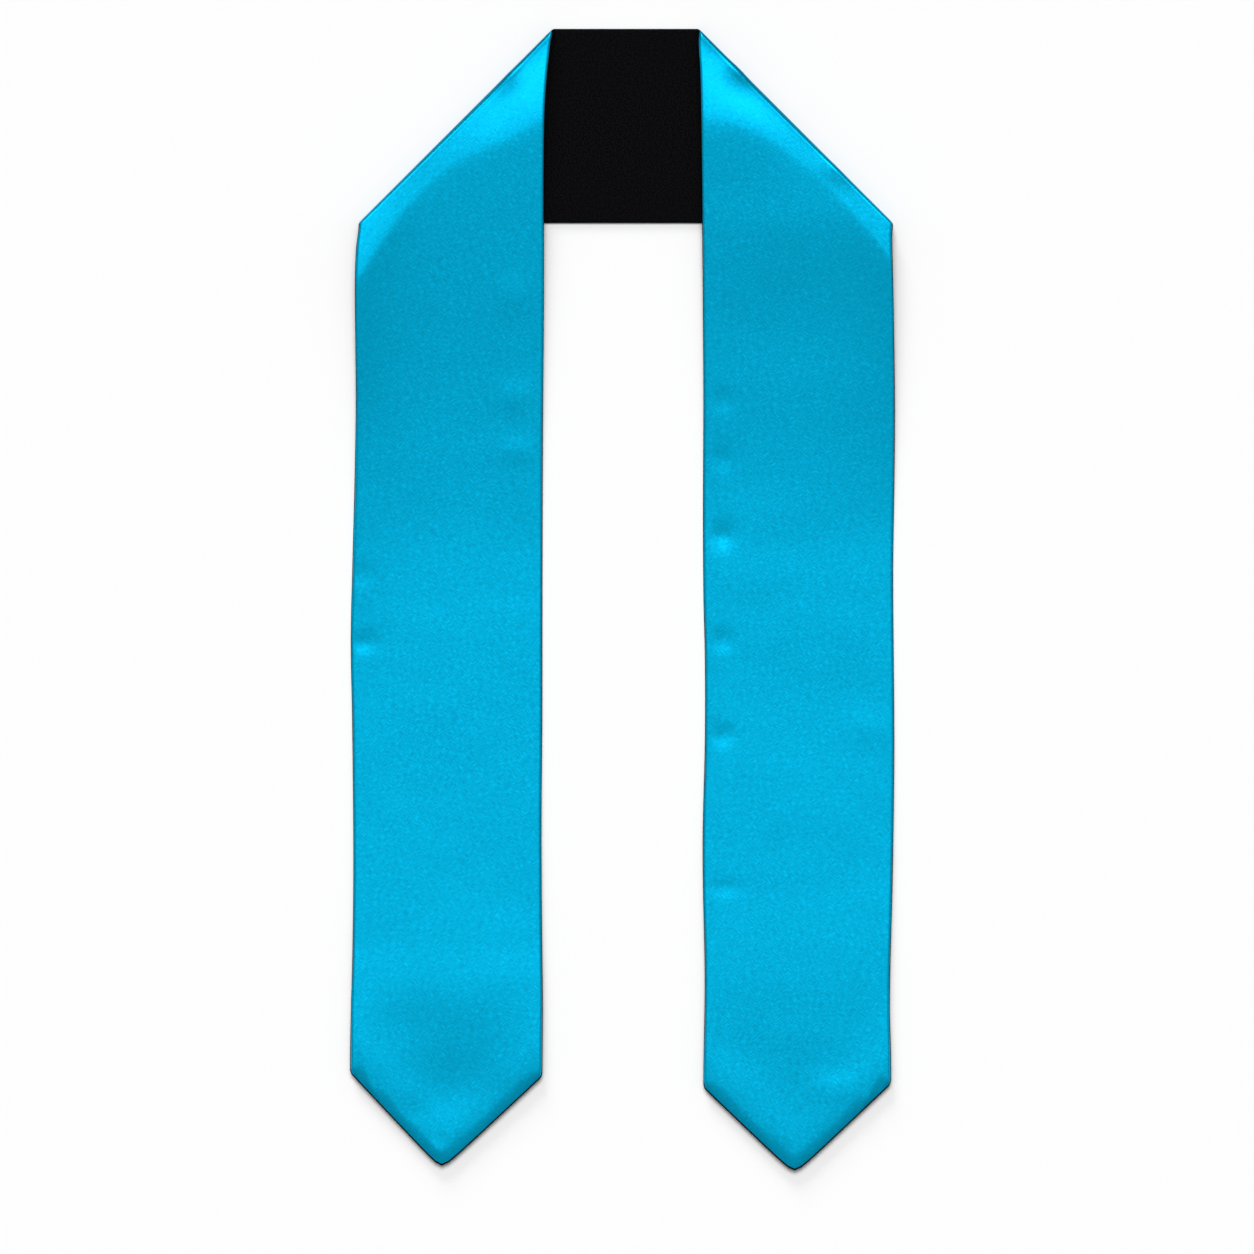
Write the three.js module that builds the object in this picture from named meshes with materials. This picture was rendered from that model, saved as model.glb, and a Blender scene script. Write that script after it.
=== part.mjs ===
// A graduation stole laid out flat. One long band, satin on one side and black lining on the other, runs
// along the back of the neck, turns over on a forty-five degree fold at each shoulder, and comes down as two
// pointed legs. So the lining shows at the neck and the satin shows on the legs, which lie on the neck panel.
// Lengths are in millimetres. X runs across the wearer, Y runs from the points up to the neck, and Z is up
// from the surface that the stole lies on. The origin is the middle of the footprint, on that surface.

import * as THREE from "three";

// The band
const bandWidth = 144.4;
const neckSpan = 110.3; // along the neck's upper edge, from one shoulder fold to the other
const legLength = 854; // from the neck's upper edge down to the point, before it is rounded
const rightLegExtra = 3.6; // how much lower the right leg's point lies

// The two cloths, sewn together round their edges
const satinThickness = 1.2;
const liningThickness = 1;
const seamGap = 0.3; // air between the satin and the lining
const edgeRound = 1.6; // how far in from an edge the cloth has its full thickness
const edgeLip = 0.4; // thickness at the very edge

// The shoulder folds, which are soft: a leg arches up behind the fold and comes down further on
const foldHollow = 2.1; // half the height of the air inside the fold
const foldReach = 4; // how far the bend reaches behind the fold, along the surface
const settleLength = 250; // from the neck panel's lower edge to where a leg lies flat
const driftReach = 20; // how far behind the fold a leg takes up its own edges
const swingLength = 70; // from the shoulder corner to where the rows of the cloth are square to the leg

// The pointed ends, where the satin rolls down to the seam
const hemWidth = 9; // how wide the roll is
const hemSwing = 26; // how far above the roll the rows of the cloth are square to the leg again
const cornerRound = 7;
const tipRound = 3.4; // how much the rounding takes off the point

// The legs. The arch behind the fold has its top at a distance behind the fold and rises above it, both as
// shares of the band's width, and across is a share from the inner edge. In the edge tables, down is measured
// from the neck's upper edge, as a share of the leg's length, and out is how far the edge has wandered away
// from the other leg, as a share of the band's width.
const leftLeg = {
  side: -1,
  length: legLength,
  arch: [
    { across: 0, behind: 0.28, rise: 0.031 },
    { across: 0.25, behind: 0.2, rise: 0.022 },
    { across: 0.5, behind: 0.13, rise: 0.015 },
    { across: 0.75, behind: 0.11, rise: 0.013 },
    { across: 1, behind: 0.18, rise: 0.022 },
  ],
  innerDepth: 70, // from the inner corner down to the point
  outerDepth: 72.7,
  pointAcross: 0.524, // where the point is, as a share of the leg's width from the inner edge
  innerEdge: [
    { down: 0, out: 0 },
    { down: 0.011, out: 0.009 },
    { down: 0.027, out: 0.02 },
    { down: 0.044, out: 0.03 },
    { down: 0.07, out: 0.04 },
    { down: 0.114, out: 0.045 },
    { down: 0.237, out: 0.047 },
    { down: 0.36, out: 0.0525 },
    { down: 0.5, out: 0.055 },
    { down: 0.606, out: 0.056 },
    { down: 0.694, out: 0.06 },
    { down: 0.782, out: 0.058 },
    { down: 0.852, out: 0.053 },
    { down: 0.918, out: 0.055 },
    { down: 1, out: 0.055 },
  ],
  outerEdge: [
    { down: 0, out: 0 },
    { down: 0.169, out: 0 },
    { down: 0.18, out: 0.004 },
    { down: 0.193, out: 0.013 },
    { down: 0.224, out: 0.019 },
    { down: 0.325, out: 0.015 },
    { down: 0.395, out: 0.022 },
    { down: 0.465, out: 0.033 },
    { down: 0.536, out: 0.042 },
    { down: 0.606, out: 0.035 },
    { down: 0.711, out: 0.0285 },
    { down: 0.764, out: 0.029 },
    { down: 0.817, out: 0.034 },
    { down: 0.896, out: 0.0445 },
    { down: 1, out: 0.0445 },
  ],
};

const rightLeg = {
  side: 1,
  length: legLength + rightLegExtra,
  arch: [
    { across: 0, behind: 0.31, rise: 0.031 },
    { across: 0.25, behind: 0.16, rise: 0.02 },
    { across: 0.5, behind: 0.09, rise: 0.012 },
    { across: 0.75, behind: 0.08, rise: 0.01 },
    { across: 1, behind: 0.12, rise: 0.015 },
  ],
  innerDepth: 65,
  outerDepth: 68,
  pointAcross: 0.486,
  innerEdge: [
    { down: 0, out: -0.004 },
    { down: 0.018, out: -0.0015 },
    { down: 0.035, out: 0.005 },
    { down: 0.079, out: 0.011 },
    { down: 0.149, out: 0.0165 },
    { down: 0.236, out: 0.022 },
    { down: 0.324, out: 0.0255 },
    { down: 0.429, out: 0.023 },
    { down: 0.499, out: 0.026 },
    { down: 0.551, out: 0.033 },
    { down: 0.621, out: 0.033 },
    { down: 0.7, out: 0.022 },
    { down: 0.743, out: 0.0225 },
    { down: 0.831, out: 0.032 },
    { down: 0.91, out: 0.0255 },
    { down: 1, out: 0.0255 },
  ],
  outerEdge: [
    { down: 0, out: 0 },
    { down: 0.168, out: -0.005 },
    { down: 0.223, out: 0.0015 },
    { down: 0.306, out: 0.01 },
    { down: 0.367, out: 0.0105 },
    { down: 0.464, out: 0.003 },
    { down: 0.499, out: 0.003 },
    { down: 0.621, out: 0.0085 },
    { down: 0.673, out: 0.006 },
    { down: 0.743, out: -0.0005 },
    { down: 0.848, out: -0.0155 },
    { down: 0.901, out: -0.009 },
    { down: 1, out: -0.009 },
  ],
};

// How finely the band is divided
const threads = 8; // across, between the two rounded edges
const neckSteps = 2; // from the middle of the neck to the fold
const bendSteps = 8; // round the fold
const archSteps = 11; // over the arch, while the rows swing round square to the leg
const archCrowding = 1.2; // above 1 sets the rows closer together near the fold
const legSteps = 14;
const hemSteps = 4; // down the roll

// Sizes that follow from the ones above
const flatSeam = satinThickness + seamGap / 2; // height of the seam where the band lies satin side down
const turnedSeam = liningThickness + seamGap / 2; // and where it lies lining side down
const bendHeight = foldHollow + liningThickness + seamGap / 2; // half the height of the seam's own bend
const bendStart = satinThickness + seamGap / 2 + foldReach; // where the bend ends, measured from the fold
const diagonal = Math.SQRT2;

const { lerp } = THREE.MathUtils;
const clamp = (value) => Math.min(1, Math.max(0, value));
const smooth = (value) => clamp(value) ** 2 * (3 - 2 * clamp(value));
const settle = (value) => (1 - clamp(value)) ** 3 * (1 + 3 * clamp(value));

// One column of a table at any share, on a smooth curve through its rows. Shares is the column that runs
// from 0 to 1.
function readTable(table, shares, column, wanted) {
  const last = table.length - 1;
  const next = Math.max(1, table.findIndex((row) => row[shares] >= wanted));
  const [before, start, end, after] = [next - 2, next - 1, next, next + 1].map(
    (index) => table[THREE.MathUtils.clamp(index, 0, last)],
  );
  const gap = end[shares] - start[shares];
  const slopeIn = (end[column] - before[column]) / (end[shares] - before[shares]);
  const slopeOut = (after[column] - start[column]) / (after[shares] - start[shares]);
  const share = clamp((wanted - start[shares]) / gap);
  const bulge = share * (1 - share) * gap * (slopeIn * (1 - share) - slopeOut * share);
  const turn = smooth(share);
  return lerp(start[column], end[column], turn) + bulge;
}

// How far below the neck's upper edge the pointed hem is, at a share across the leg
function hemDown(leg, across) {
  const beyondPoint = across > leg.pointAcross;
  const depth = beyondPoint ? leg.outerDepth : leg.innerDepth;
  const run = (beyondPoint ? 1 - leg.pointAcross : leg.pointAcross) * bandWidth;
  const fromPoint = Math.abs(across - leg.pointAcross) * bandWidth;
  const fromEdge = run - fromPoint;
  const turning = Math.atan2(run, depth);
  const straight = leg.length - Math.hypot((fromPoint * depth) / run, tipRound);
  const arcWidth = cornerRound * (1 - Math.cos(turning));
  if (fromEdge > arcWidth) {
    return straight;
  }
  const corner = leg.length - depth - cornerRound * Math.tan(turning / 2);
  return corner + Math.sqrt(cornerRound ** 2 - (cornerRound - fromEdge) ** 2);
}

// The seam's height at a place on a leg. Thread is the share across where this thread of the cloth left the
// fold.
function legHeight(leg, thread, down) {
  const bendDown = thread * bandWidth + bendStart * diagonal;
  const crestDown = bendDown + readTable(leg.arch, "across", "behind", thread) * bandWidth * diagonal;
  const crestRise = readTable(leg.arch, "across", "rise", thread) * bandWidth;
  const flatDown = bandWidth + settleLength;
  const rise = crestRise * smooth((down - bendDown) / (crestDown - bendDown));
  const bendTop = flatSeam + 2 * bendHeight - turnedSeam;
  return turnedSeam + (bendTop + rise) * settle((down - crestDown) / (flatDown - crestDown));
}

// A place on the band's seam surface, which lies between the two cloths. Side and down are measured from the
// middle of the neck's upper edge. Body is how much of its thickness the cloth has there, past the lip.
const place = (leg, side, down, height, body = 1) => ({
  point: new THREE.Vector3(leg.side * side, -down, height),
  body,
});

function neckPlace(leg, across, share) {
  const fold = neckSpan / 2 + across * bandWidth - bendStart * diagonal;
  return place(leg, share * fold, across * bandWidth, flatSeam);
}

function bendPlace(leg, across, share) {
  const angle = Math.PI * share;
  const behind = bendStart - foldReach * Math.sin(angle);
  const along = across * bandWidth + (bendStart * (2 * share - 1)) / diagonal;
  const height = flatSeam + bendHeight * (1 - Math.cos(angle));
  const side = neckSpan / 2 + along - behind / diagonal;
  return place(leg, side, along + behind / diagonal, height);
}

function legPlace(leg, across, down, body) {
  const behindFold = (down - across * bandWidth) / diagonal - bendStart;
  const taken = smooth(behindFold / driftReach);
  const inner = readTable(leg.innerEdge, "down", "out", down / leg.length) * taken;
  const outer = 1 + readTable(leg.outerEdge, "down", "out", down / leg.length) * taken;
  const side = neckSpan / 2 + lerp(inner, outer, across) * bandWidth;
  return place(leg, side, down, legHeight(leg, across, down), body);
}

// Shares across the band, from the neck's upper edge, which becomes a leg's inner edge. They crowd at the
// edges.
function threadShares() {
  const edge = edgeRound / bandWidth;
  const between = Array.from({ length: threads + 1 }, (_, index) => lerp(edge, 1 - edge, index / threads));
  return [0, ...between, 1];
}

// The middle thread is led to the point of the leg's end
function leadToPoint(leg, across) {
  const toPoint = leg.pointAcross / 0.5;
  return across < 0.5 ? across * toPoint : 1 - (1 - across) * (2 - toPoint);
}

// The rows of one half of the band, from the middle of the neck to the pointed end. A row is a function that
// gives the place on it at a share across.
function halfBand(leg) {
  const rows = [];
  for (let step = 0; step < neckSteps; step++) {
    rows.push((across) => neckPlace(leg, across, step / neckSteps));
  }
  for (let step = 0; step < bendSteps; step++) {
    rows.push((across) => bendPlace(leg, across, step / bendSteps));
  }

  const foldEnd = (across) => across * bandWidth + bendStart * diagonal;
  const squareDown = bandWidth + swingLength;
  for (let step = 0; step < archSteps; step++) {
    const share = (step / archSteps) ** archCrowding;
    rows.push((across) => legPlace(leg, across, lerp(foldEnd(across), squareDown, share)));
  }

  const cornerDown = leg.length - Math.max(leg.innerDepth, leg.outerDepth) - hemWidth * diagonal - hemSwing;
  for (let step = 0; step < legSteps; step++) {
    const share = step / legSteps;
    const down = lerp(squareDown, cornerDown, share);
    rows.push((across) => legPlace(leg, lerp(across, leadToPoint(leg, across), share), down));
  }

  rows.push((across) => {
    const lead = leadToPoint(leg, across);
    const rollDown = hemDown(leg, lead) - hemWidth * diagonal;
    return legPlace(leg, lead, (cornerDown + rollDown) / 2);
  });
  for (let step = 0; step <= hemSteps; step++) {
    const angle = (Math.PI / 2) * (step / hemSteps);
    const inward = hemWidth * (1 - Math.sin(angle));
    rows.push((across) => {
      const lead = leadToPoint(leg, across);
      return legPlace(leg, lead, hemDown(leg, lead) - inward * diagonal, Math.cos(angle));
    });
  }
  return rows;
}

// The whole band's seam surface, from the left leg's point round the neck to the right leg's
function seamSurface() {
  const rows = [...halfBand(leftLeg).reverse(), ...halfBand(rightLeg).slice(1)];
  const shares = threadShares();
  const grid = rows.map((row) => shares.map(row));
  grid.forEach((row, rowIndex) => row.forEach((spot, thread) => {
    const rowBefore = grid[Math.max(rowIndex - 1, 0)];
    const rowAfter = grid[Math.min(rowIndex + 1, grid.length - 1)];
    const alongBand = rowAfter[thread].point.clone().sub(rowBefore[thread].point);
    const threadBefore = row[Math.max(thread - 1, 0)];
    const threadAfter = row[Math.min(thread + 1, row.length - 1)];
    const acrossBand = threadAfter.point.clone().sub(threadBefore.point);
    spot.satinSide = alongBand.cross(acrossBand).normalize();
  }));
  return grid;
}

// One cloth as a closed solid, between two distances from the seam surface. It thins to a lip at its edges.
function cloth(grid, nearFace, farFace) {
  const rowCount = grid.length;
  const threadCount = grid[0].length;
  const faceStart = rowCount * threadCount;
  const lip = nearFace + Math.sign(farFace - nearFace) * edgeLip;
  const positions = [];
  const addFace = (distance, edgeDistance) => grid.forEach((row) => row.forEach((spot, thread) => {
    const onEdge = thread === 0 || thread === threadCount - 1;
    const offset = onEdge ? edgeDistance : lerp(edgeDistance, distance, spot.body);
    positions.push(...spot.point.clone().addScaledVector(spot.satinSide, offset).toArray());
  }));
  addFace(nearFace, nearFace);
  addFace(farFace, lip);

  // Faces point away from the cloth, whichever side of the seam surface it lies on
  const indices = [];
  const satinUp = farFace > nearFace;
  const quad = (a, b, c, d) => indices.push(...(satinUp ? [a, b, c, a, c, d] : [a, c, b, a, d, c]));
  const at = (row, thread) => row * threadCount + thread;
  for (let row = 0; row < rowCount - 1; row++) {
    for (let thread = 0; thread < threadCount - 1; thread++) {
      const corners = [at(row, thread), at(row + 1, thread), at(row + 1, thread + 1), at(row, thread + 1)];
      quad(...corners.map((index) => index + faceStart));
      quad(...corners.reverse());
    }
  }
  const threadNumbers = grid[0].map((spot, thread) => thread);
  const rowNumbers = grid.map((row, rowIndex) => rowIndex);
  const rim = [
    ...threadNumbers.slice(0, -1).map((thread) => at(0, thread)),
    ...rowNumbers.slice(0, -1).map((row) => at(row, threadCount - 1)),
    ...threadNumbers.slice(1).reverse().map((thread) => at(rowCount - 1, thread)),
    ...rowNumbers.slice(1).reverse().map((row) => at(row, 0)),
  ];
  rim.forEach((corner, index) => {
    const next = rim[(index + 1) % rim.length];
    quad(next, corner, corner + faceStart, next + faceStart);
  });

  const geometry = new THREE.BufferGeometry();
  geometry.setAttribute("position", new THREE.Float32BufferAttribute(positions, 3));
  geometry.setIndex(indices);
  return geometry;
}

const grid = seamSurface();

const satin = new THREE.Mesh(
  cloth(grid, seamGap / 2, seamGap / 2 + satinThickness),
  new THREE.MeshStandardMaterial({ color: "#07a9d4", roughness: 0.36, metalness: 0 }),
);
satin.name = "satin_face";

const lining = new THREE.Mesh(
  cloth(grid, -seamGap / 2, -seamGap / 2 - liningThickness),
  new THREE.MeshStandardMaterial({ color: "#0d0d0f", roughness: 0.75, metalness: 0 }),
);
lining.name = "black_lining";

// The two cloths, with the middle of their footprint at the origin
const stole = new THREE.Group();
stole.add(satin, lining);
const footprint = new THREE.Box3().setFromObject(stole);
const middle = footprint.getCenter(new THREE.Vector3());
stole.position.set(-middle.x, -middle.y, -footprint.min.z);

export default stole;
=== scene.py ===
import math

import bpy
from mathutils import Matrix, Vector, noise


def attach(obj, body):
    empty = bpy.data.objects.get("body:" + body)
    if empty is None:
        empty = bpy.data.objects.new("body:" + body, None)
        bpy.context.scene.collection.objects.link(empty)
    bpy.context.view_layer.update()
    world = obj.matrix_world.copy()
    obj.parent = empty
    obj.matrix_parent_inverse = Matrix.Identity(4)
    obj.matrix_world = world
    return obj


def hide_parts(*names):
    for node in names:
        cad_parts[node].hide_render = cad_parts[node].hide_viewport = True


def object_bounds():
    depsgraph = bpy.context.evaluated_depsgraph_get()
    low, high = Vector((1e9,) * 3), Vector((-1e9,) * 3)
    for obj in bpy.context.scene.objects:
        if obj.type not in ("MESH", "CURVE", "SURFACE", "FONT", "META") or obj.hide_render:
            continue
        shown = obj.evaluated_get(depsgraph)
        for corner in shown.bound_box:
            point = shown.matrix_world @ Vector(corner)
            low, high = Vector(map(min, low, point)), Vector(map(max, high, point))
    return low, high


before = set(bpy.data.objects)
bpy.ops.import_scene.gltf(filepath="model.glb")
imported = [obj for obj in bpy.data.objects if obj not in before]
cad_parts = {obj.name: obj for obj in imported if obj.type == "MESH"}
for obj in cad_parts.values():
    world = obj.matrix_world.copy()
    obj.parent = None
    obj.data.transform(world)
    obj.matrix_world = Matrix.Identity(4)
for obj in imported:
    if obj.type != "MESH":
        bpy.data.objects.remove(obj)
bpy.ops.object.select_all(action="DESELECT")
cadLow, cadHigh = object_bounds()
print("frame loaded")

mm = 0.001
diagonal = math.sqrt(2)

# camera, straight above the stole, at the photograph's own scale
photoView = {
    "imagePixels": 1254,
    "metresPerPixel": 0.75 * mm,
    "neckTopPixel": 29.8,
    "leftEdgePixel": 351.2,
    "rightEdgePixel": 893.8,
    "lens": 300,
    "sensor": 36,
}


def addCamera(view):
    middle = view["imagePixels"] / 2
    stoleMiddle = (view["leftEdgePixel"] + view["rightEdgePixel"]) / 2
    x = (cadLow.x + cadHigh.x) / 2 + (middle - stoleMiddle) * view["metresPerPixel"]
    y = cadHigh.y - (middle - view["neckTopPixel"]) * view["metresPerPixel"]
    height = view["imagePixels"] * view["metresPerPixel"] * view["lens"] / view["sensor"]
    bpy.ops.object.camera_add(location=(x, y, height), rotation=(0, 0, 0))
    camera = bpy.context.object
    camera.name = "camera"
    camera.data.lens = view["lens"]
    camera.data.sensor_width = view["sensor"]
    bpy.context.scene.camera = camera


addCamera(photoView)
print("camera set")

# the band, as it was cut and as it lies
band = {
    "width": 144.4 * mm,
    "neckSpan": 110.3 * mm,  # along the neck's upper edge
    "neckShift": 2.45 * mm,  # the neck's middle, to the right of the stole's
    "foldHollow": 4.2 * mm,  # half the air inside a shoulder fold
    "settleLength": 250 * mm,  # from the neck panel's lower edge to where a leg lies flat
    "settleStart": 0.03,  # how gently a leg starts to fall past the crest, 0 at once
    "settleHold": 0.65,  # 0 falls early, 1 stays up longer
    "driftReach": 6 * mm,
    "hemRoll": 8.5 * mm,  # width of the roll along the pointed hems
    "hemSwing": 26 * mm,
    "swingLength": 70 * mm,
    "cornerRound": 7 * mm,
    "tipRound": 3.8 * mm,
    "hemCurve": 2.1,  # 1 falls straight to the hem, 2 and more stay full and turn late
    "hemWaver": 0.9,  # how much the roll's width wanders, as a share
    "waverLength": 11 * mm,
    "waverPlace": 5,  # where in the noise the roll's wander is read
    "cornerStop": 2.2,  # how many times sooner the roll ends at the hem's corners
    "rows": {"neck": 18, "bend": 24, "arch": 100, "leg": 230, "swing": 34, "roll": 14},
    "threads": 50,
    "crowding": 0.74,  # 0 spaces the threads evenly, near 1 they crowd at the edges
}

# arch behind the fold: share across, then the crest's distance behind the fold, its rise
# and how far the fold's own rounding reaches, as shares of the width,
# and how soon the cloth rises, 0 late and 1 at once
# lift: share down the leg, and how far the leg stands off the surface, as a share of the width
# edges: share down the leg, and how far the edge has wandered outwards, as a share of the width
leftLeg = {
    "side": -1,
    "length": 854 * mm,
    "innerDepth": 70 * mm,
    "outerDepth": 72.7 * mm,
    "pointAcross": 0.524,
    "arch": [
        {"at": 0, "behind": 0.31, "rise": 0.0092, "reach": 0.004, "early": 0.1},
        {"at": 0.25, "behind": 0.22, "rise": 0.0062, "reach": 0.014, "early": 0.2},
        {"at": 0.5, "behind": 0.12, "rise": 0.0010, "reach": 0.013, "early": 0.7},
        {"at": 0.75, "behind": 0.102, "rise": 0.0003, "reach": 0.011, "early": 1},
        {"at": 1, "behind": 0.2, "rise": 0.004, "reach": 0.008, "early": 1},
    ],
    "lift": [
        {"at": 0.5, "rise": 0},
        {"at": 0.632, "rise": 0.005},
        {"at": 0.72, "rise": 0.0117},
        {"at": 0.8, "rise": 0.0207},
        {"at": 0.841, "rise": 0.0274},
        {"at": 0.87, "rise": 0.0297},
        {"at": 0.925, "rise": 0.0307},
        {"at": 0.966, "rise": 0.0298},
        {"at": 1, "rise": 0.0288},
    ],
    "innerEdge": [
        {"at": 0, "out": 0},
        {"at": 0.011, "out": 0.009},
        {"at": 0.027, "out": 0.02},
        {"at": 0.044, "out": 0.03},
        {"at": 0.07, "out": 0.04},
        {"at": 0.114, "out": 0.045},
        {"at": 0.237, "out": 0.047},
        {"at": 0.36, "out": 0.0525},
        {"at": 0.5, "out": 0.055},
        {"at": 0.606, "out": 0.056},
        {"at": 0.694, "out": 0.06},
        {"at": 0.782, "out": 0.058},
        {"at": 0.852, "out": 0.053},
        {"at": 0.918, "out": 0.055},
        {"at": 1, "out": 0.055},
    ],
    "outerEdge": [
        {"at": 0, "out": 0},
        {"at": 0.169, "out": 0},
        {"at": 0.18, "out": 0.004},
        {"at": 0.193, "out": 0.013},
        {"at": 0.224, "out": 0.019},
        {"at": 0.325, "out": 0.015},
        {"at": 0.395, "out": 0.022},
        {"at": 0.465, "out": 0.033},
        {"at": 0.536, "out": 0.042},
        {"at": 0.606, "out": 0.035},
        {"at": 0.711, "out": 0.0285},
        {"at": 0.764, "out": 0.029},
        {"at": 0.817, "out": 0.034},
        {"at": 0.896, "out": 0.0445},
        {"at": 1, "out": 0.0445},
    ],
}

rightLeg = {
    "side": 1,
    "length": 857.6 * mm,
    "innerDepth": 65 * mm,
    "outerDepth": 68 * mm,
    "pointAcross": 0.486,
    "arch": [
        {"at": 0, "behind": 0.31, "rise": 0.0076, "reach": 0.004, "early": 0.1},
        {"at": 0.25, "behind": 0.17, "rise": 0.0066, "reach": 0.014, "early": 0.2},
        {"at": 0.5, "behind": 0.1, "rise": 0.0015, "reach": 0.013, "early": 0.8},
        {"at": 0.75, "behind": 0.08, "rise": -0.0006, "reach": 0.011, "early": 1},
        {"at": 1, "behind": 0.12, "rise": 0.0014, "reach": 0.008, "early": 1},
    ],
    "lift": [
        {"at": 0.5, "rise": 0},
        {"at": 0.632, "rise": 0.004},
        {"at": 0.72, "rise": 0.0111},
        {"at": 0.808, "rise": 0.0217},
        {"at": 0.85, "rise": 0.0259},
        {"at": 0.9, "rise": 0.0284},
        {"at": 0.95, "rise": 0.0295},
        {"at": 1, "rise": 0.0309},
    ],
    "innerEdge": [
        {"at": 0, "out": -0.004},
        {"at": 0.018, "out": -0.0015},
        {"at": 0.035, "out": 0.005},
        {"at": 0.079, "out": 0.011},
        {"at": 0.149, "out": 0.0165},
        {"at": 0.236, "out": 0.022},
        {"at": 0.324, "out": 0.0255},
        {"at": 0.429, "out": 0.023},
        {"at": 0.499, "out": 0.026},
        {"at": 0.551, "out": 0.033},
        {"at": 0.621, "out": 0.033},
        {"at": 0.7, "out": 0.022},
        {"at": 0.743, "out": 0.0225},
        {"at": 0.831, "out": 0.032},
        {"at": 0.91, "out": 0.0255},
        {"at": 1, "out": 0.0255},
    ],
    "outerEdge": [
        {"at": 0, "out": 0},
        {"at": 0.168, "out": -0.005},
        {"at": 0.223, "out": 0.0015},
        {"at": 0.306, "out": 0.01},
        {"at": 0.367, "out": 0.0105},
        {"at": 0.464, "out": 0.003},
        {"at": 0.499, "out": 0.003},
        {"at": 0.621, "out": 0.0085},
        {"at": 0.673, "out": 0.006},
        {"at": 0.743, "out": -0.0005},
        {"at": 0.848, "out": -0.0155},
        {"at": 0.901, "out": -0.009},
        {"at": 1, "out": -0.009},
    ],
}


def clamp(value):
    return min(1, max(0, value))


def smooth(value):
    value = clamp(value)
    return value * value * (3 - 2 * value)


def riseEarly(value):  # from 0 up to 1, sloping at once and ending level
    return 1.5 * value - 0.5 * value ** 3


def settle(value):  # from 1 down to 0, sloping almost at once and easing out
    value = clamp(value)
    value = value * value / (value + band["settleStart"] * (1 - value)) if value else 0
    return (1 - value) ** 2 * (1 + band["settleHold"] * value)


def mix(a, b, share):
    return a + (b - a) * share


def readTable(table, column, wanted):  # one column at any place, on a smooth curve through the rows
    last = len(table) - 1
    following = next((i for i, row in enumerate(table) if row["at"] >= wanted), last)
    following = max(1, following)
    start, end = table[following - 1], table[following]
    before, after = table[max(0, following - 2)], table[min(last, following + 1)]
    gap = end["at"] - start["at"]
    slopeIn = (end[column] - before[column]) / (end["at"] - before["at"])
    slopeOut = (after[column] - start[column]) / (after["at"] - start["at"])
    share = clamp((wanted - start["at"]) / gap)
    bulge = share * (1 - share) * gap * (slopeIn * (1 - share) - slopeOut * share)
    return mix(start[column], end[column], smooth(share)) + bulge


# each cloth's outer face stands this far from the seam between them
cloths = {
    "satinFace": 1.35 * mm,
    "liningFace": 1.15 * mm,
    "edgeFace": 0.32 * mm,  # at the very edge
    "edgeRound": 1.8 * mm,
    "satinWall": 0.8 * mm,
    "liningWall": 0.7 * mm,
    "edgeWall": 0.35,  # share of the wall left at the edge
    "liningAndShadeShows": 0.6 * mm,  # how far the lining stands out past the satin at the seam; its dark edge is partly the real lining and partly stands in for shade on the satin's turned edge
    "hemLiningAndShadeShows": 1.7,  # times as far at the pointed hems, where this dark line of lining and stand-in shade is wider
    "hemPuff": 0.9 * mm,  # the satin's fullness just inside the hem's roll
    "hemPuffReach": 24 * mm,
    "paintedShadeReach": 7 * mm,  # how far the painted shade along a fold's edge reaches, near the neck
    "paintedShadeReachOut": 3 * mm,  # the same at the outer corner
    "creaseAngle": 60,  # degrees past which an edge stays sharp
}

flatSeam = cloths["satinFace"]  # height of the seam where the satin is underneath
turnedSeam = cloths["liningFace"]  # and where the lining is
bendHeight = band["foldHollow"] + cloths["liningFace"]
neckMiddle = Vector((band["neckShift"], cadHigh.y, 0))  # middle of the neck's upper edge


def edgeShare(distance, reach):  # a rounded edge's height, from 0 at the edge to 1
    return math.sqrt(1 - (1 - clamp(distance / reach)) ** 2)


def foldFace(across):  # how far the satin's outer face stands from the seam, less by the band's edges
    toEdge = min(across, 1 - across) * band["width"]
    return mix(cloths["edgeFace"], cloths["satinFace"], edgeShare(toEdge, cloths["edgeRound"]))


def bendStart(leg, across):  # distance from the fold line to where the cloth starts to turn
    return foldFace(across) + readTable(leg["arch"], "reach", across) * band["width"]


def hemDown(leg, across, margin):  # how far down the pointed hem is, at a share across the leg
    beyondPoint = across > leg["pointAcross"]
    depth = leg["outerDepth"] if beyondPoint else leg["innerDepth"]
    run = (1 - leg["pointAcross"] if beyondPoint else leg["pointAcross"]) * band["width"]
    fromPoint = abs(across - leg["pointAcross"]) * band["width"]
    fromEdge = max(0, run + margin - fromPoint)
    turning = math.atan2(run, depth)
    length = leg["length"] + margin * cloths["hemLiningAndShadeShows"] * diagonal
    if fromEdge > band["cornerRound"] * (1 - math.cos(turning)):
        return length - math.hypot(fromPoint * depth / run, band["tipRound"])
    corner = length - depth - band["cornerRound"] * math.tan(turning / 2) - margin
    return corner + math.sqrt(band["cornerRound"] ** 2 - (band["cornerRound"] - fromEdge) ** 2)


def legHeight(leg, thread, down):  # height of the seam over the surface
    bendDown = thread * band["width"] + bendStart(leg, thread) * diagonal
    crestDown = bendDown + readTable(leg["arch"], "behind", thread) * band["width"] * diagonal
    crestRise = readTable(leg["arch"], "rise", thread) * band["width"]
    flatDown = band["width"] + band["settleLength"]
    climbed = clamp((down - bendDown) / (crestDown - bendDown))
    early = readTable(leg["arch"], "early", thread)
    rise = crestRise * mix(smooth(climbed), riseEarly(climbed), early)
    bendTop = flatSeam + 2 * bendHeight - turnedSeam
    arch = (bendTop + rise) * settle((down - crestDown) / (flatDown - crestDown))
    lift = readTable(leg["lift"], "rise", down / leg["length"]) * band["width"]
    return turnedSeam + lift + arch


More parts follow.
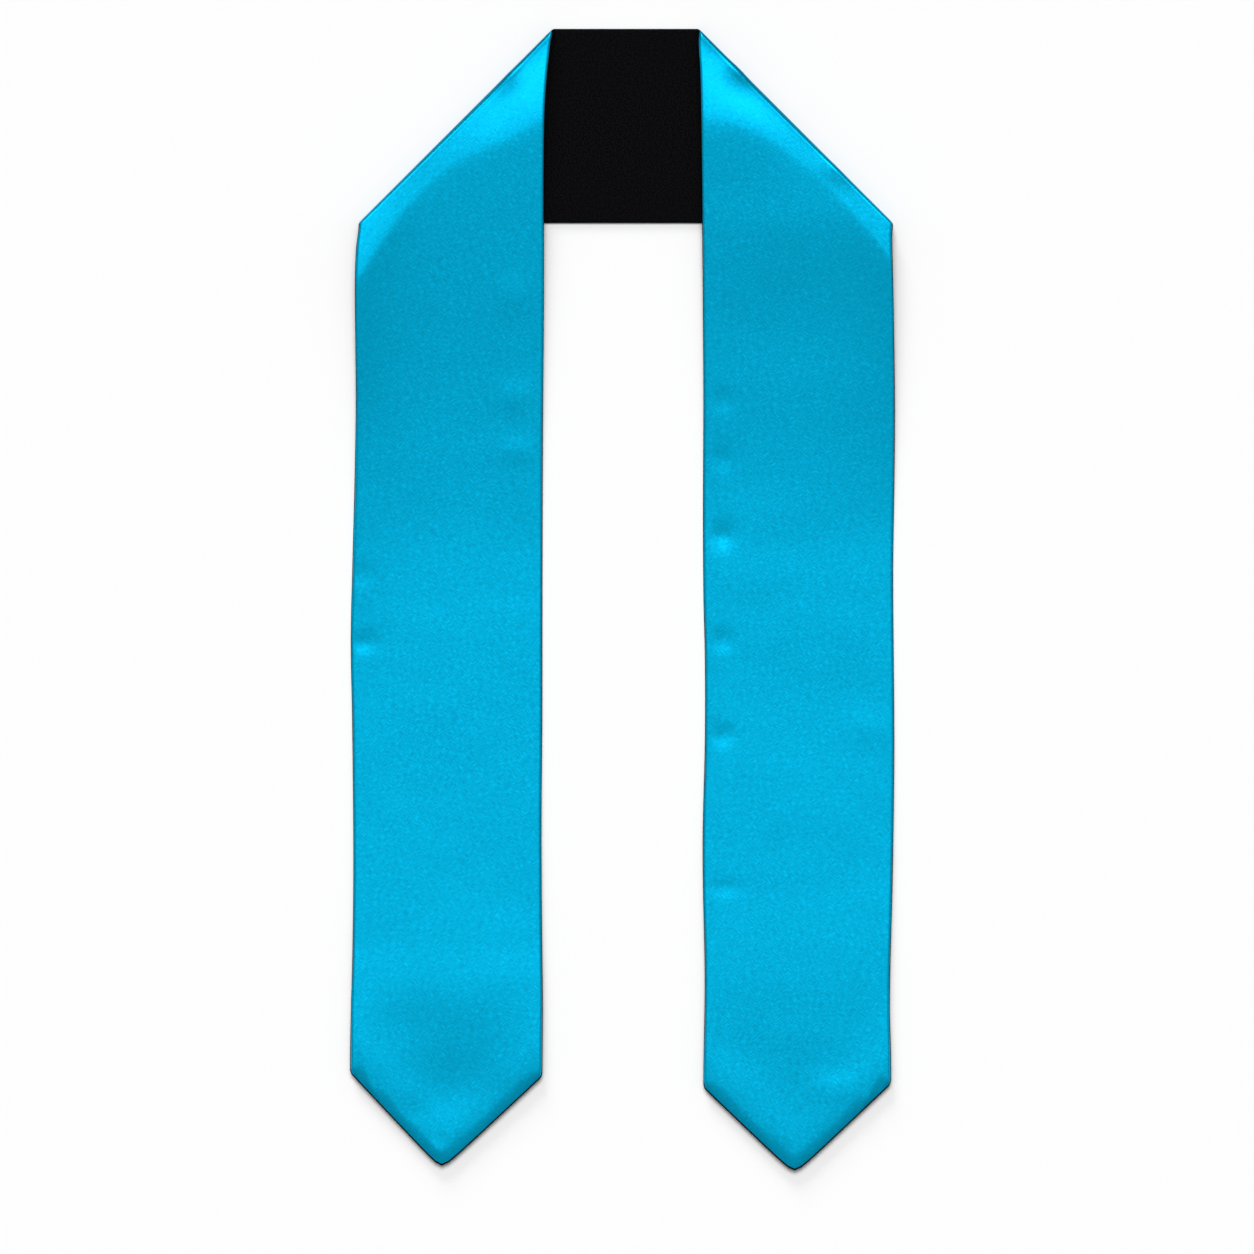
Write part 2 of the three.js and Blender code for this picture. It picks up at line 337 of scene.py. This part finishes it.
# each spot is its distance to the side of the neck's middle, down and up, its distance along
# the band, and on the legs, near enough to the points, its distance to the hem
def neckSpot(leg, across, share):
    fold = band["neckSpan"] / 2 + across * band["width"] - bendStart(leg, across) * diagonal
    side = share * fold
    return side, across * band["width"], flatSeam, side, None


def bendSpot(leg, across, share):
    start = bendStart(leg, across)
    angle = math.pi * share
    behind = start - (start - foldFace(across)) * math.sin(angle)
    shift = start * (2 * share - 1)
    along = across * band["width"] + shift / diagonal
    side = band["neckSpan"] / 2 + along - behind / diagonal
    height = flatSeam + bendHeight * (1 - math.cos(angle))
    cut = band["neckSpan"] / 2 + across * band["width"] + shift * diagonal
    return side, along + behind / diagonal, height, cut, None


def legSpot(leg, across, down, toHem=None):
    behindFold = (down - across * band["width"]) / diagonal - bendStart(leg, across)
    taken = smooth(behindFold / band["driftReach"])
    inner = readTable(leg["innerEdge"], "out", down / leg["length"]) * taken
    outer = 1 + readTable(leg["outerEdge"], "out", down / leg["length"]) * taken
    side = band["neckSpan"] / 2 + mix(inner, outer, across) * band["width"]
    return side, down, legHeight(leg, across, down), band["neckSpan"] / 2 + down, toHem


def spotOnBand(leg, across, row, margin):  # row counts from the neck's middle to the pointed hem
    for section in ("neck", "bend", "arch", "leg", "swing", "roll"):
        count = band["rows"][section]
        if row <= count:
            break
        row -= count
    share = row / count
    if section == "neck":
        return neckSpot(leg, across, share)
    if section == "bend":
        return bendSpot(leg, across, share)
    squareDown = band["width"] + band["swingLength"]
    if section == "arch":
        foldEnd = across * band["width"] + bendStart(leg, across) * diagonal
        return legSpot(leg, across, mix(foldEnd, squareDown, share))
    cornerDepth = max(leg["innerDepth"], leg["outerDepth"])
    cornerDown = leg["length"] - cornerDepth - band["hemRoll"] * diagonal - band["hemSwing"]
    led = across * leg["pointAcross"] * 2  # the middle thread is led to the point
    if across > 0.5:
        led = 1 - (1 - across) * (1 - leg["pointAcross"]) * 2
    if section == "leg":
        thread, down = mix(across, led, share), mix(squareDown, cornerDown, share)
        return legSpot(leg, thread, down, (hemDown(leg, thread, margin) - down) / diagonal)
    hem = hemDown(leg, led, margin)
    rollDown = hem - band["hemRoll"] * diagonal
    if section == "swing":
        down = mix(cornerDown, rollDown, share)
        return legSpot(leg, led, down, (hem - down) / diagonal)
    toHem = band["hemRoll"] * (1 - math.sin(share * math.pi / 2))
    return legSpot(leg, led, hem - toHem * diagonal, toHem)


def crowd(share):  # brings threads closer together near both edges
    return share - band["crowding"] * math.sin(2 * math.pi * share) / (2 * math.pi)


def layBand(name, margin):  # a grid laid along the seam, its faces towards the satin side
    half = sum(band["rows"].values())
    bpy.ops.mesh.primitive_grid_add(x_subdivisions=2 * half, y_subdivisions=band["threads"], size=1)
    piece = bpy.context.object
    piece.name = name
    piece.data.name = name
    spread = 1 + 2 * margin / band["width"]
    spots = []
    for vertex in piece.data.vertices:
        row = round(vertex.co.x * 2 * half)
        across = (crowd(vertex.co.y + 0.5) - 0.5) * spread + 0.5
        leg = rightLeg if row > 0 else leftLeg
        side, down, height, along, toHem = spotOnBand(leg, across, abs(row), margin)
        vertex.co = Vector((leg["side"] * side, -down, height)) + neckMiddle
        spot = {"leg": leg, "across": across, "down": down}
        spots.append(spot | {"along": leg["side"] * along, "toHem": toHem})
    cut = piece.data.uv_layers.active
    cut.name = "cut"  # the band's flat cutting plan, in metres
    for loop in piece.data.loops:
        spot = spots[loop.vertex_index]
        cut.data[loop.index].uv = (spot["across"] * band["width"], spot["along"])
    return piece, spots


def hemPuff(spot):
    if spot["toHem"] is None:
        return 0
    inside = max(0, spot["toHem"] - band["hemRoll"])
    return cloths["hemPuff"] * math.exp(-(inside / cloths["hemPuffReach"]) ** 2)


def distanceToSide(spot, margin):
    return min(spot["across"], 1 - spot["across"]) * band["width"] + margin


# soft dents and puffs of the satin: place as shares down and across the leg,
# rise, and reach down and across, all three in millimetres
leftPuffs = [
    {"down": 0.041, "across": 0.22, "rise": 0.6, "long": 10, "wide": 10},
    {"down": 0.233, "across": 0.16, "rise": 0.35, "long": 15, "wide": 13},
    {"down": 0.322, "across": 0.15, "rise": 0.3, "long": 12, "wide": 14},
    {"down": 0.370, "across": 0.14, "rise": 0.25, "long": 9, "wide": 12},
    {"down": 0.43, "across": 1, "rise": 1, "long": 70, "wide": 26},
    {"down": 0.479, "across": 0.96, "rise": -0.3, "long": 9, "wide": 10},
    {"down": 0.538, "across": 0.95, "rise": -0.4, "long": 7, "wide": 12},
    {"down": 0.93, "across": 0.43, "rise": -0.7, "long": 32, "wide": 38},
    {"down": 0.872, "across": 0.62, "rise": -0.12, "long": 14, "wide": 24},
    {"down": 0.95, "across": 0.66, "rise": -0.25, "long": 9, "wide": 11},
    {"down": 0.985, "across": 0.535, "rise": 0.5, "long": 5, "wide": 6},
]

rightPuffs = [
    {"down": 0.035, "across": 0.21, "rise": 0.95, "long": 9, "wide": 10},
    {"down": 0.122, "across": 0.73, "rise": 0.6, "long": 9, "wide": 14},
    {"down": 0.171, "across": 0.5, "rise": 0.32, "long": 24, "wide": 70},
    {"down": 0.262, "across": 0.5, "rise": -0.45, "long": 37, "wide": 75},
    {"down": 0.324, "across": 0.1, "rise": -0.3, "long": 8, "wide": 9},
    {"down": 0.376, "across": 0.1, "rise": -0.3, "long": 9, "wide": 8},
    {"down": 0.442, "across": 0.1, "rise": -0.5, "long": 9, "wide": 9},
    {"down": 0.534, "across": 0.09, "rise": -0.35, "long": 8, "wide": 8},
    {"down": 0.617, "across": 0.09, "rise": -0.35, "long": 8, "wide": 8},
    {"down": 0.612, "across": 0.86, "rise": 0.2, "long": 14, "wide": 20},
    {"down": 0.75, "across": 0.12, "rise": -0.2, "long": 6, "wide": 12},
    {"down": 0.885, "across": 0.6, "rise": 0.1, "long": 18, "wide": 35},
    {"down": 0.925, "across": 0.7, "rise": 0.25, "long": 11, "wide": 22},
]

satinRelief = {
    "wave": 0.22 * mm,  # the cloth's slow unevenness
    "waveLength": 85 * mm,
    "ripple": 0.05 * mm,
    "rippleLength": 24 * mm,
    "rippleShift": (7, 3, 0),  # keeps the ripple apart from the wave
    "edgeReach": 9 * mm,  # in from the sides, where the relief has its full depth
    "turnReach": 3 * mm,  # past the fold, where the relief has its full depth
    "ridgeRise": 0.22 * mm,  # the turned-in edge that shows along the right leg's inner side
    "ridgeIn": 7.5 * mm,
    "ridgeWidth": 3.2 * mm,
    "ridgeFrom": 0.22,  # as shares down the leg
    "ridgeTo": 0.9,
    "ridgeFadeIn": 0.05,
    "ridgeFadeOut": 0.03,
}


def pastFold(spot):  # distance along the band from the fold line, less than 0 on the neck's side
    return abs(spot["along"]) - band["neckSpan"] / 2 - spot["across"] * band["width"]


def creaseNormal(spot, normal):  # turns evenly through a fold, so that the inner cloth stays whole
    start = bendStart(spot["leg"], spot["across"])
    turned = (pastFold(spot) / (start * diagonal) + 1) / 2
    if not 0 <= turned <= 1:
        return normal
    outward = Vector((spot["leg"]["side"], 1, 0)) / diagonal
    return outward * math.sin(math.pi * turned) - Vector((0, 0, math.cos(math.pi * turned)))


def satinRise(spot):
    leg, across, down = spot["leg"], spot["across"], spot["down"]
    puffs = rightPuffs if leg["side"] > 0 else leftPuffs
    rise = 0
    for puff in puffs:
        far = (down - puff["down"] * leg["length"]) / (puff["long"] * mm)
        wide = (across - puff["across"]) * band["width"] / (puff["wide"] * mm)
        rise += puff["rise"] * mm * math.exp(-far * far - wide * wide)
    place = Vector((across * band["width"], spot["along"], 0))
    slow = noise.noise(place / satinRelief["waveLength"])
    quick = noise.noise(place / satinRelief["rippleLength"] + Vector(satinRelief["rippleShift"]))
    rise += slow * satinRelief["wave"] + quick * satinRelief["ripple"]
    if leg["side"] > 0:
        share = down / leg["length"]
        begun = smooth((share - satinRelief["ridgeFrom"]) / satinRelief["ridgeFadeIn"])
        present = begun * smooth((satinRelief["ridgeTo"] - share) / satinRelief["ridgeFadeOut"])
        off = (across * band["width"] - satinRelief["ridgeIn"]) / satinRelief["ridgeWidth"]
        rise += satinRelief["ridgeRise"] * present * math.exp(-off * off)
    return rise * smooth(pastFold(spot) / satinRelief["turnReach"])


def hemRollShare(spot, margin, side):  # the roll's height along the hem, from 0 at the hem to 1
    place = Vector((spot["across"] * band["width"] / band["waverLength"], side, band["waverPlace"]))
    reach = band["hemRoll"] * (1 + band["hemWaver"] * noise.noise(place))
    atSide = 1 - smooth(distanceToSide(spot, margin) / band["hemRoll"])
    sooner = mix(1, band["cornerStop"], atSide)
    return 1 - (1 - clamp(spot["toHem"] * sooner / reach)) ** band["hemCurve"]


# side is 1 for the cloth on the satin side of the seam and -1 for the other
def dressCloth(piece, spots, margin, side, face, wall, riseOf=None):
    mesh = piece.data
    normals = [vertex.normal.copy() for vertex in mesh.vertices]
    body = piece.vertex_groups.new(name="body")
    for vertex, spot, normal in zip(mesh.vertices, spots, normals):
        share = edgeShare(distanceToSide(spot, margin), cloths["edgeRound"])
        if spot["toHem"] is not None:
            share = min(share, hemRollShare(spot, margin, side))
        offset = mix(cloths["edgeFace"], face, share)
        if riseOf:
            inside = edgeShare(distanceToSide(spot, margin), satinRelief["edgeReach"])
            offset += riseOf(spot) * min(share, inside)
            offset += hemPuff(spot) * share
        if side < 0:
            normal = normal.lerp(creaseNormal(spot, normal), share)
        vertex.co += normal * side * offset
        body.add([vertex.index], mix(cloths["edgeWall"], 1, share), "REPLACE")
    if side < 0:
        mesh.flip_normals()
    solid = piece.modifiers.new("wall", "SOLIDIFY")
    solid.thickness = wall
    solid.offset = -1
    solid.vertex_group = "body"
    solid.thickness_vertex_group = 0
    bpy.context.view_layer.objects.active = piece
    bpy.ops.object.modifier_apply(modifier="wall")
    bpy.ops.object.shade_smooth_by_angle(angle=math.radians(cloths["creaseAngle"]))


def makeSatin():
    piece, spots = layBand("satin_band", 0)
    paintedFoldShade = piece.data.attributes.new("paintedFoldShade", "FLOAT", "POINT")  # painted shade, 1 along each fold's edge where the cloth turns away from the light
    for mark, spot in zip(paintedFoldShade.data, spots):
        reach = mix(cloths["paintedShadeReach"], cloths["paintedShadeReachOut"], spot["across"])
        mark.value = math.exp(-(pastFold(spot) / reach) ** 2)
    dressCloth(piece, spots, 0, 1, cloths["satinFace"], cloths["satinWall"], satinRise)
    return piece


def makeLining():
    piece, spots = layBand("lining_band", cloths["liningAndShadeShows"])
    dressCloth(piece, spots, cloths["liningAndShadeShows"], -1, cloths["liningFace"], cloths["liningWall"])
    return piece


# materials
def newMaterial(name):
    material = bpy.data.materials.new(name)
    material.use_nodes = True
    nodes = material.node_tree.nodes
    nodes.clear()
    shader = nodes.new("ShaderNodeBsdfPrincipled")
    output = nodes.new("ShaderNodeOutputMaterial")
    material.node_tree.links.new(shader.outputs["BSDF"], output.inputs["Surface"])
    return material, nodes, material.node_tree.links, shader


satinFinish = {
    "shade": (0.0013, 0.391, 0.65, 1),
    "light": (0.0013, 0.427, 0.702, 1),
    "metallic": 0.75,
    "roughness": 0.32,
    "roughnessSpread": 0.05,
    "gloss": 0.2,
    "glossTint": (0, 0.8, 1, 1),
    "anisotropy": 0.4,
    "sheen": 0.03,
    "sheenTint": (0, 0.75, 1, 1),
    "streakTurns": (56, -52),  # degrees from the band's length
    "streakWide": 0.8 * mm,
    "streakLong": 4.4 * mm,
    "patchSize": 7 * mm,  # patches in which one streak direction shows more than the other
    "cloudSize": 70 * mm,
    "patchRange": (0.42, 0.58),  # the part of each noise that is used
    "glossRange": (0.3, 0.7),
    "threadRange": (0.45, 0.7),
    "weaveShade": 0.05,
    "weaveLight": 0.15,
    # how much the painted shade darkens the colour at a fold's edge
    "paintedShadeDepth": 0.72,
    "bump": 0.08,
    "bumpHeight": 0.2 * mm,
}


# the cutting plan, turned, with one unit this wide and this long
def clothPlan(nodes, links, turn, wide, long):
    plan = nodes.new("ShaderNodeUVMap")
    plan.uv_map = "cut"
    mapping = nodes.new("ShaderNodeMapping")
    mapping.vector_type = "TEXTURE"
    mapping.inputs["Rotation"].default_value[2] = math.radians(turn)
    mapping.inputs["Scale"].default_value = (wide, long, 1)
    links.new(plan.outputs["UV"], mapping.inputs["Vector"])
    return mapping


def addNoise(nodes, links, mapping, detail):
    pattern = nodes.new("ShaderNodeTexNoise")
    pattern.inputs["Scale"].default_value = 1
    pattern.inputs["Detail"].default_value = detail
    links.new(mapping.outputs["Vector"], pattern.inputs["Vector"])
    return pattern.outputs["Fac"]


def addRange(nodes, links, value, taken, given):
    spread = nodes.new("ShaderNodeMapRange")
    spread.inputs["From Min"].default_value = taken[0]
    spread.inputs["From Max"].default_value = taken[1]
    spread.inputs["To Min"].default_value = given[0]
    spread.inputs["To Max"].default_value = given[1]
    links.new(value, spread.inputs["Value"])
    return spread.outputs["Result"]


def addDye(nodes, links, factor, finish):  # between the finish's two colours
    dye = nodes.new("ShaderNodeMix")
    dye.data_type = "RGBA"
    dye.inputs["A"].default_value = finish["shade"]
    dye.inputs["B"].default_value = finish["light"]
    links.new(factor, dye.inputs["Factor"])
    return dye.outputs["Result"]


def addShading(nodes, links, color, strength):
    shaded = nodes.new("ShaderNodeMix")
    shaded.data_type = "RGBA"
    shaded.blend_type = "MULTIPLY"
    shaded.inputs["Factor"].default_value = 1
    links.new(color, shaded.inputs["A"])
    links.new(strength, shaded.inputs["B"])
    return shaded.outputs["Result"]


def addRoughness(nodes, links, shader, value, taken, finish):
    middle, spread = finish["roughness"], finish["roughnessSpread"]
    roughness = addRange(nodes, links, value, taken, (middle - spread, middle + spread))
    links.new(roughness, shader.inputs["Roughness"])


def addBump(nodes, links, shader, height, finish):
    bump = nodes.new("ShaderNodeBump")
    bump.inputs["Strength"].default_value = finish["bump"]
    bump.inputs["Distance"].default_value = finish["bumpHeight"]
    links.new(height, bump.inputs["Height"])
    links.new(bump.outputs["Normal"], shader.inputs["Normal"])


def satinWeave(nodes, links, finish):  # streaks in two directions, each strong in its own patches
    streaks = []
    for turn in finish["streakTurns"]:
        mapping = clothPlan(nodes, links, turn, finish["streakWide"], finish["streakLong"])
        streaks.append(addNoise(nodes, links, mapping, 1))
    around = clothPlan(nodes, links, 0, finish["patchSize"], finish["patchSize"])
    patches = addNoise(nodes, links, around, 1)
    weave = nodes.new("ShaderNodeMix")
    split = addRange(nodes, links, patches, finish["patchRange"], (0, 1))
    links.new(split, weave.inputs["Factor"])
    links.new(streaks[0], weave.inputs["A"])
    links.new(streaks[1], weave.inputs["B"])
    return weave.outputs["Result"]


def satinMaterial(finish):
    material, nodes, links, shader = newMaterial("turquoise_satin")
    shader.inputs["Metallic"].default_value = finish["metallic"]
    shader.inputs["Specular IOR Level"].default_value = finish["gloss"]
    shader.inputs["Specular Tint"].default_value = finish["glossTint"]
    shader.inputs["Anisotropic"].default_value = finish["anisotropy"]
    shader.inputs["Sheen Weight"].default_value = finish["sheen"]
    shader.inputs["Sheen Tint"].default_value = finish["sheenTint"]

    tangent = nodes.new("ShaderNodeTangent")
    tangent.direction_type = "UV_MAP"
    tangent.uv_map = "cut"
    links.new(tangent.outputs["Tangent"], shader.inputs["Tangent"])

    weave = satinWeave(nodes, links, finish)
    plain = clothPlan(nodes, links, 0, finish["cloudSize"], finish["cloudSize"])
    dye = addDye(nodes, links, addNoise(nodes, links, plain, 3), finish)
    addRoughness(nodes, links, shader, weave, finish["glossRange"], finish)

    shine = (1 - finish["weaveShade"], 1 + finish["weaveLight"])  # thin light threads on an even ground
    threads = addRange(nodes, links, weave, finish["threadRange"], shine)
    woven = addShading(nodes, links, dye, threads)

    paintedFoldShade = nodes.new("ShaderNodeAttribute")  # painted shade: the colour is darkened along each fold's edge, where the cloth turns away from the light
    paintedFoldShade.attribute_name = "paintedFoldShade"
    paintedShadeFactor = addRange(nodes, links, paintedFoldShade.outputs["Fac"], (0, 1), (1, 1 - finish["paintedShadeDepth"]))
    links.new(addShading(nodes, links, woven, paintedShadeFactor), shader.inputs["Base Color"])
    addBump(nodes, links, shader, threads, finish)
    return material


liningFinish = {
    "shade": (0.0002, 0.0002, 0.0006, 1),
    "light": (0.0034, 0.0034, 0.004, 1),
    "roughness": 0.65,
    "roughnessSpread": 0.08,
    "gloss": 0.02,
    "sheen": 0.001,
    "threadPitch": 1.2 * mm,
    "grainRange": (0.42, 0.58),
    "bump": 0.2,
    "bumpHeight": 0.2 * mm,
}


def liningMaterial(finish):
    material, nodes, links, shader = newMaterial("black_lining_cloth")
    shader.inputs["Specular IOR Level"].default_value = finish["gloss"]
    shader.inputs["Sheen Weight"].default_value = finish["sheen"]
    mapping = clothPlan(nodes, links, 0, finish["threadPitch"], finish["threadPitch"])
    grain = addNoise(nodes, links, mapping, 3)
    spread = addRange(nodes, links, grain, finish["grainRange"], (0, 1))
    links.new(addDye(nodes, links, spread, finish), shader.inputs["Base Color"])
    addRoughness(nodes, links, shader, grain, (0, 1), finish)
    addBump(nodes, links, shader, grain, finish)
    return material


satin = makeSatin()
print("satin laid")
lining = makeLining()
print("lining laid")

satin.data.materials.append(satinMaterial(satinFinish))
lining.data.materials.append(liningMaterial(liningFinish))
print("materials made")

for piece, node, slot, other in (
    (satin, "satin_face", "satin", lining),
    (lining, "black_lining", "lining", satin),
):
    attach(piece, "root")
    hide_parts(node)

# floor and light
studio = {
    "floorSize": 12,
    "floorColor": (0.802, 0.802, 0.802, 1),
    "floorRoughness": 0.9,
    "skyOverhead": 0.45,
    "skyHorizon": 0.15,
    "sunHeight": 2,
    "keyTilt": 27,  # degrees from overhead, towards the neck
    "keyTurn": 1,  # degrees round to the left
    "keyStrength": 2.52,
    "keySoftness": 34,  # the light's own width, in degrees
    "lowTilt": 72,
    "lowTurn": 14,
    "lowStrength": 1.7,
    "lowSoftness": 18,
}


def addSun(name, tilt, turn, strength, softness):
    turned = (-math.radians(tilt), 0, math.radians(turn))
    bpy.ops.object.light_add(type="SUN", location=(0, 0, studio["sunHeight"]), rotation=turned)
    light = bpy.context.object
    light.name = name
    light.data.energy = strength
    light.data.angle = math.radians(softness)


bpy.ops.mesh.primitive_plane_add(size=studio["floorSize"], location=(0, 0, 0))
floor = bpy.context.object
floor.name = "floor"
floorMaterial, _, _, floorShader = newMaterial("pale_floor")
floorShader.inputs["Base Color"].default_value = studio["floorColor"]
floorShader.inputs["Roughness"].default_value = studio["floorRoughness"]
floorShader.inputs["Specular IOR Level"].default_value = 0
floor.data.materials.append(floorMaterial)

world = bpy.data.worlds.new("studio")
bpy.context.scene.world = world
world.use_nodes = True
world.node_tree.nodes["Background"].inputs["Color"].default_value = (1, 1, 1, 1)
skyNodes = world.node_tree.nodes  # brightest overhead, dim near the horizon
skyPlace = skyNodes.new("ShaderNodeTexCoord")
skyHeight = skyNodes.new("ShaderNodeSeparateXYZ")
skyFade = skyNodes.new("ShaderNodeMapRange")
skyFade.inputs["To Min"].default_value = studio["skyHorizon"]
skyFade.inputs["To Max"].default_value = studio["skyOverhead"]
world.node_tree.links.new(skyPlace.outputs["Generated"], skyHeight.inputs["Vector"])
world.node_tree.links.new(skyHeight.outputs["Z"], skyFade.inputs["Value"])
world.node_tree.links.new(skyFade.outputs["Result"], skyNodes["Background"].inputs["Strength"])
addSun("key_light", studio["keyTilt"], studio["keyTurn"], studio["keyStrength"], studio["keySoftness"])
addSun("low_light", studio["lowTilt"], studio["lowTurn"], studio["lowStrength"], studio["lowSoftness"])
bpy.context.scene.view_settings.view_transform = "Standard"
print("studio set")
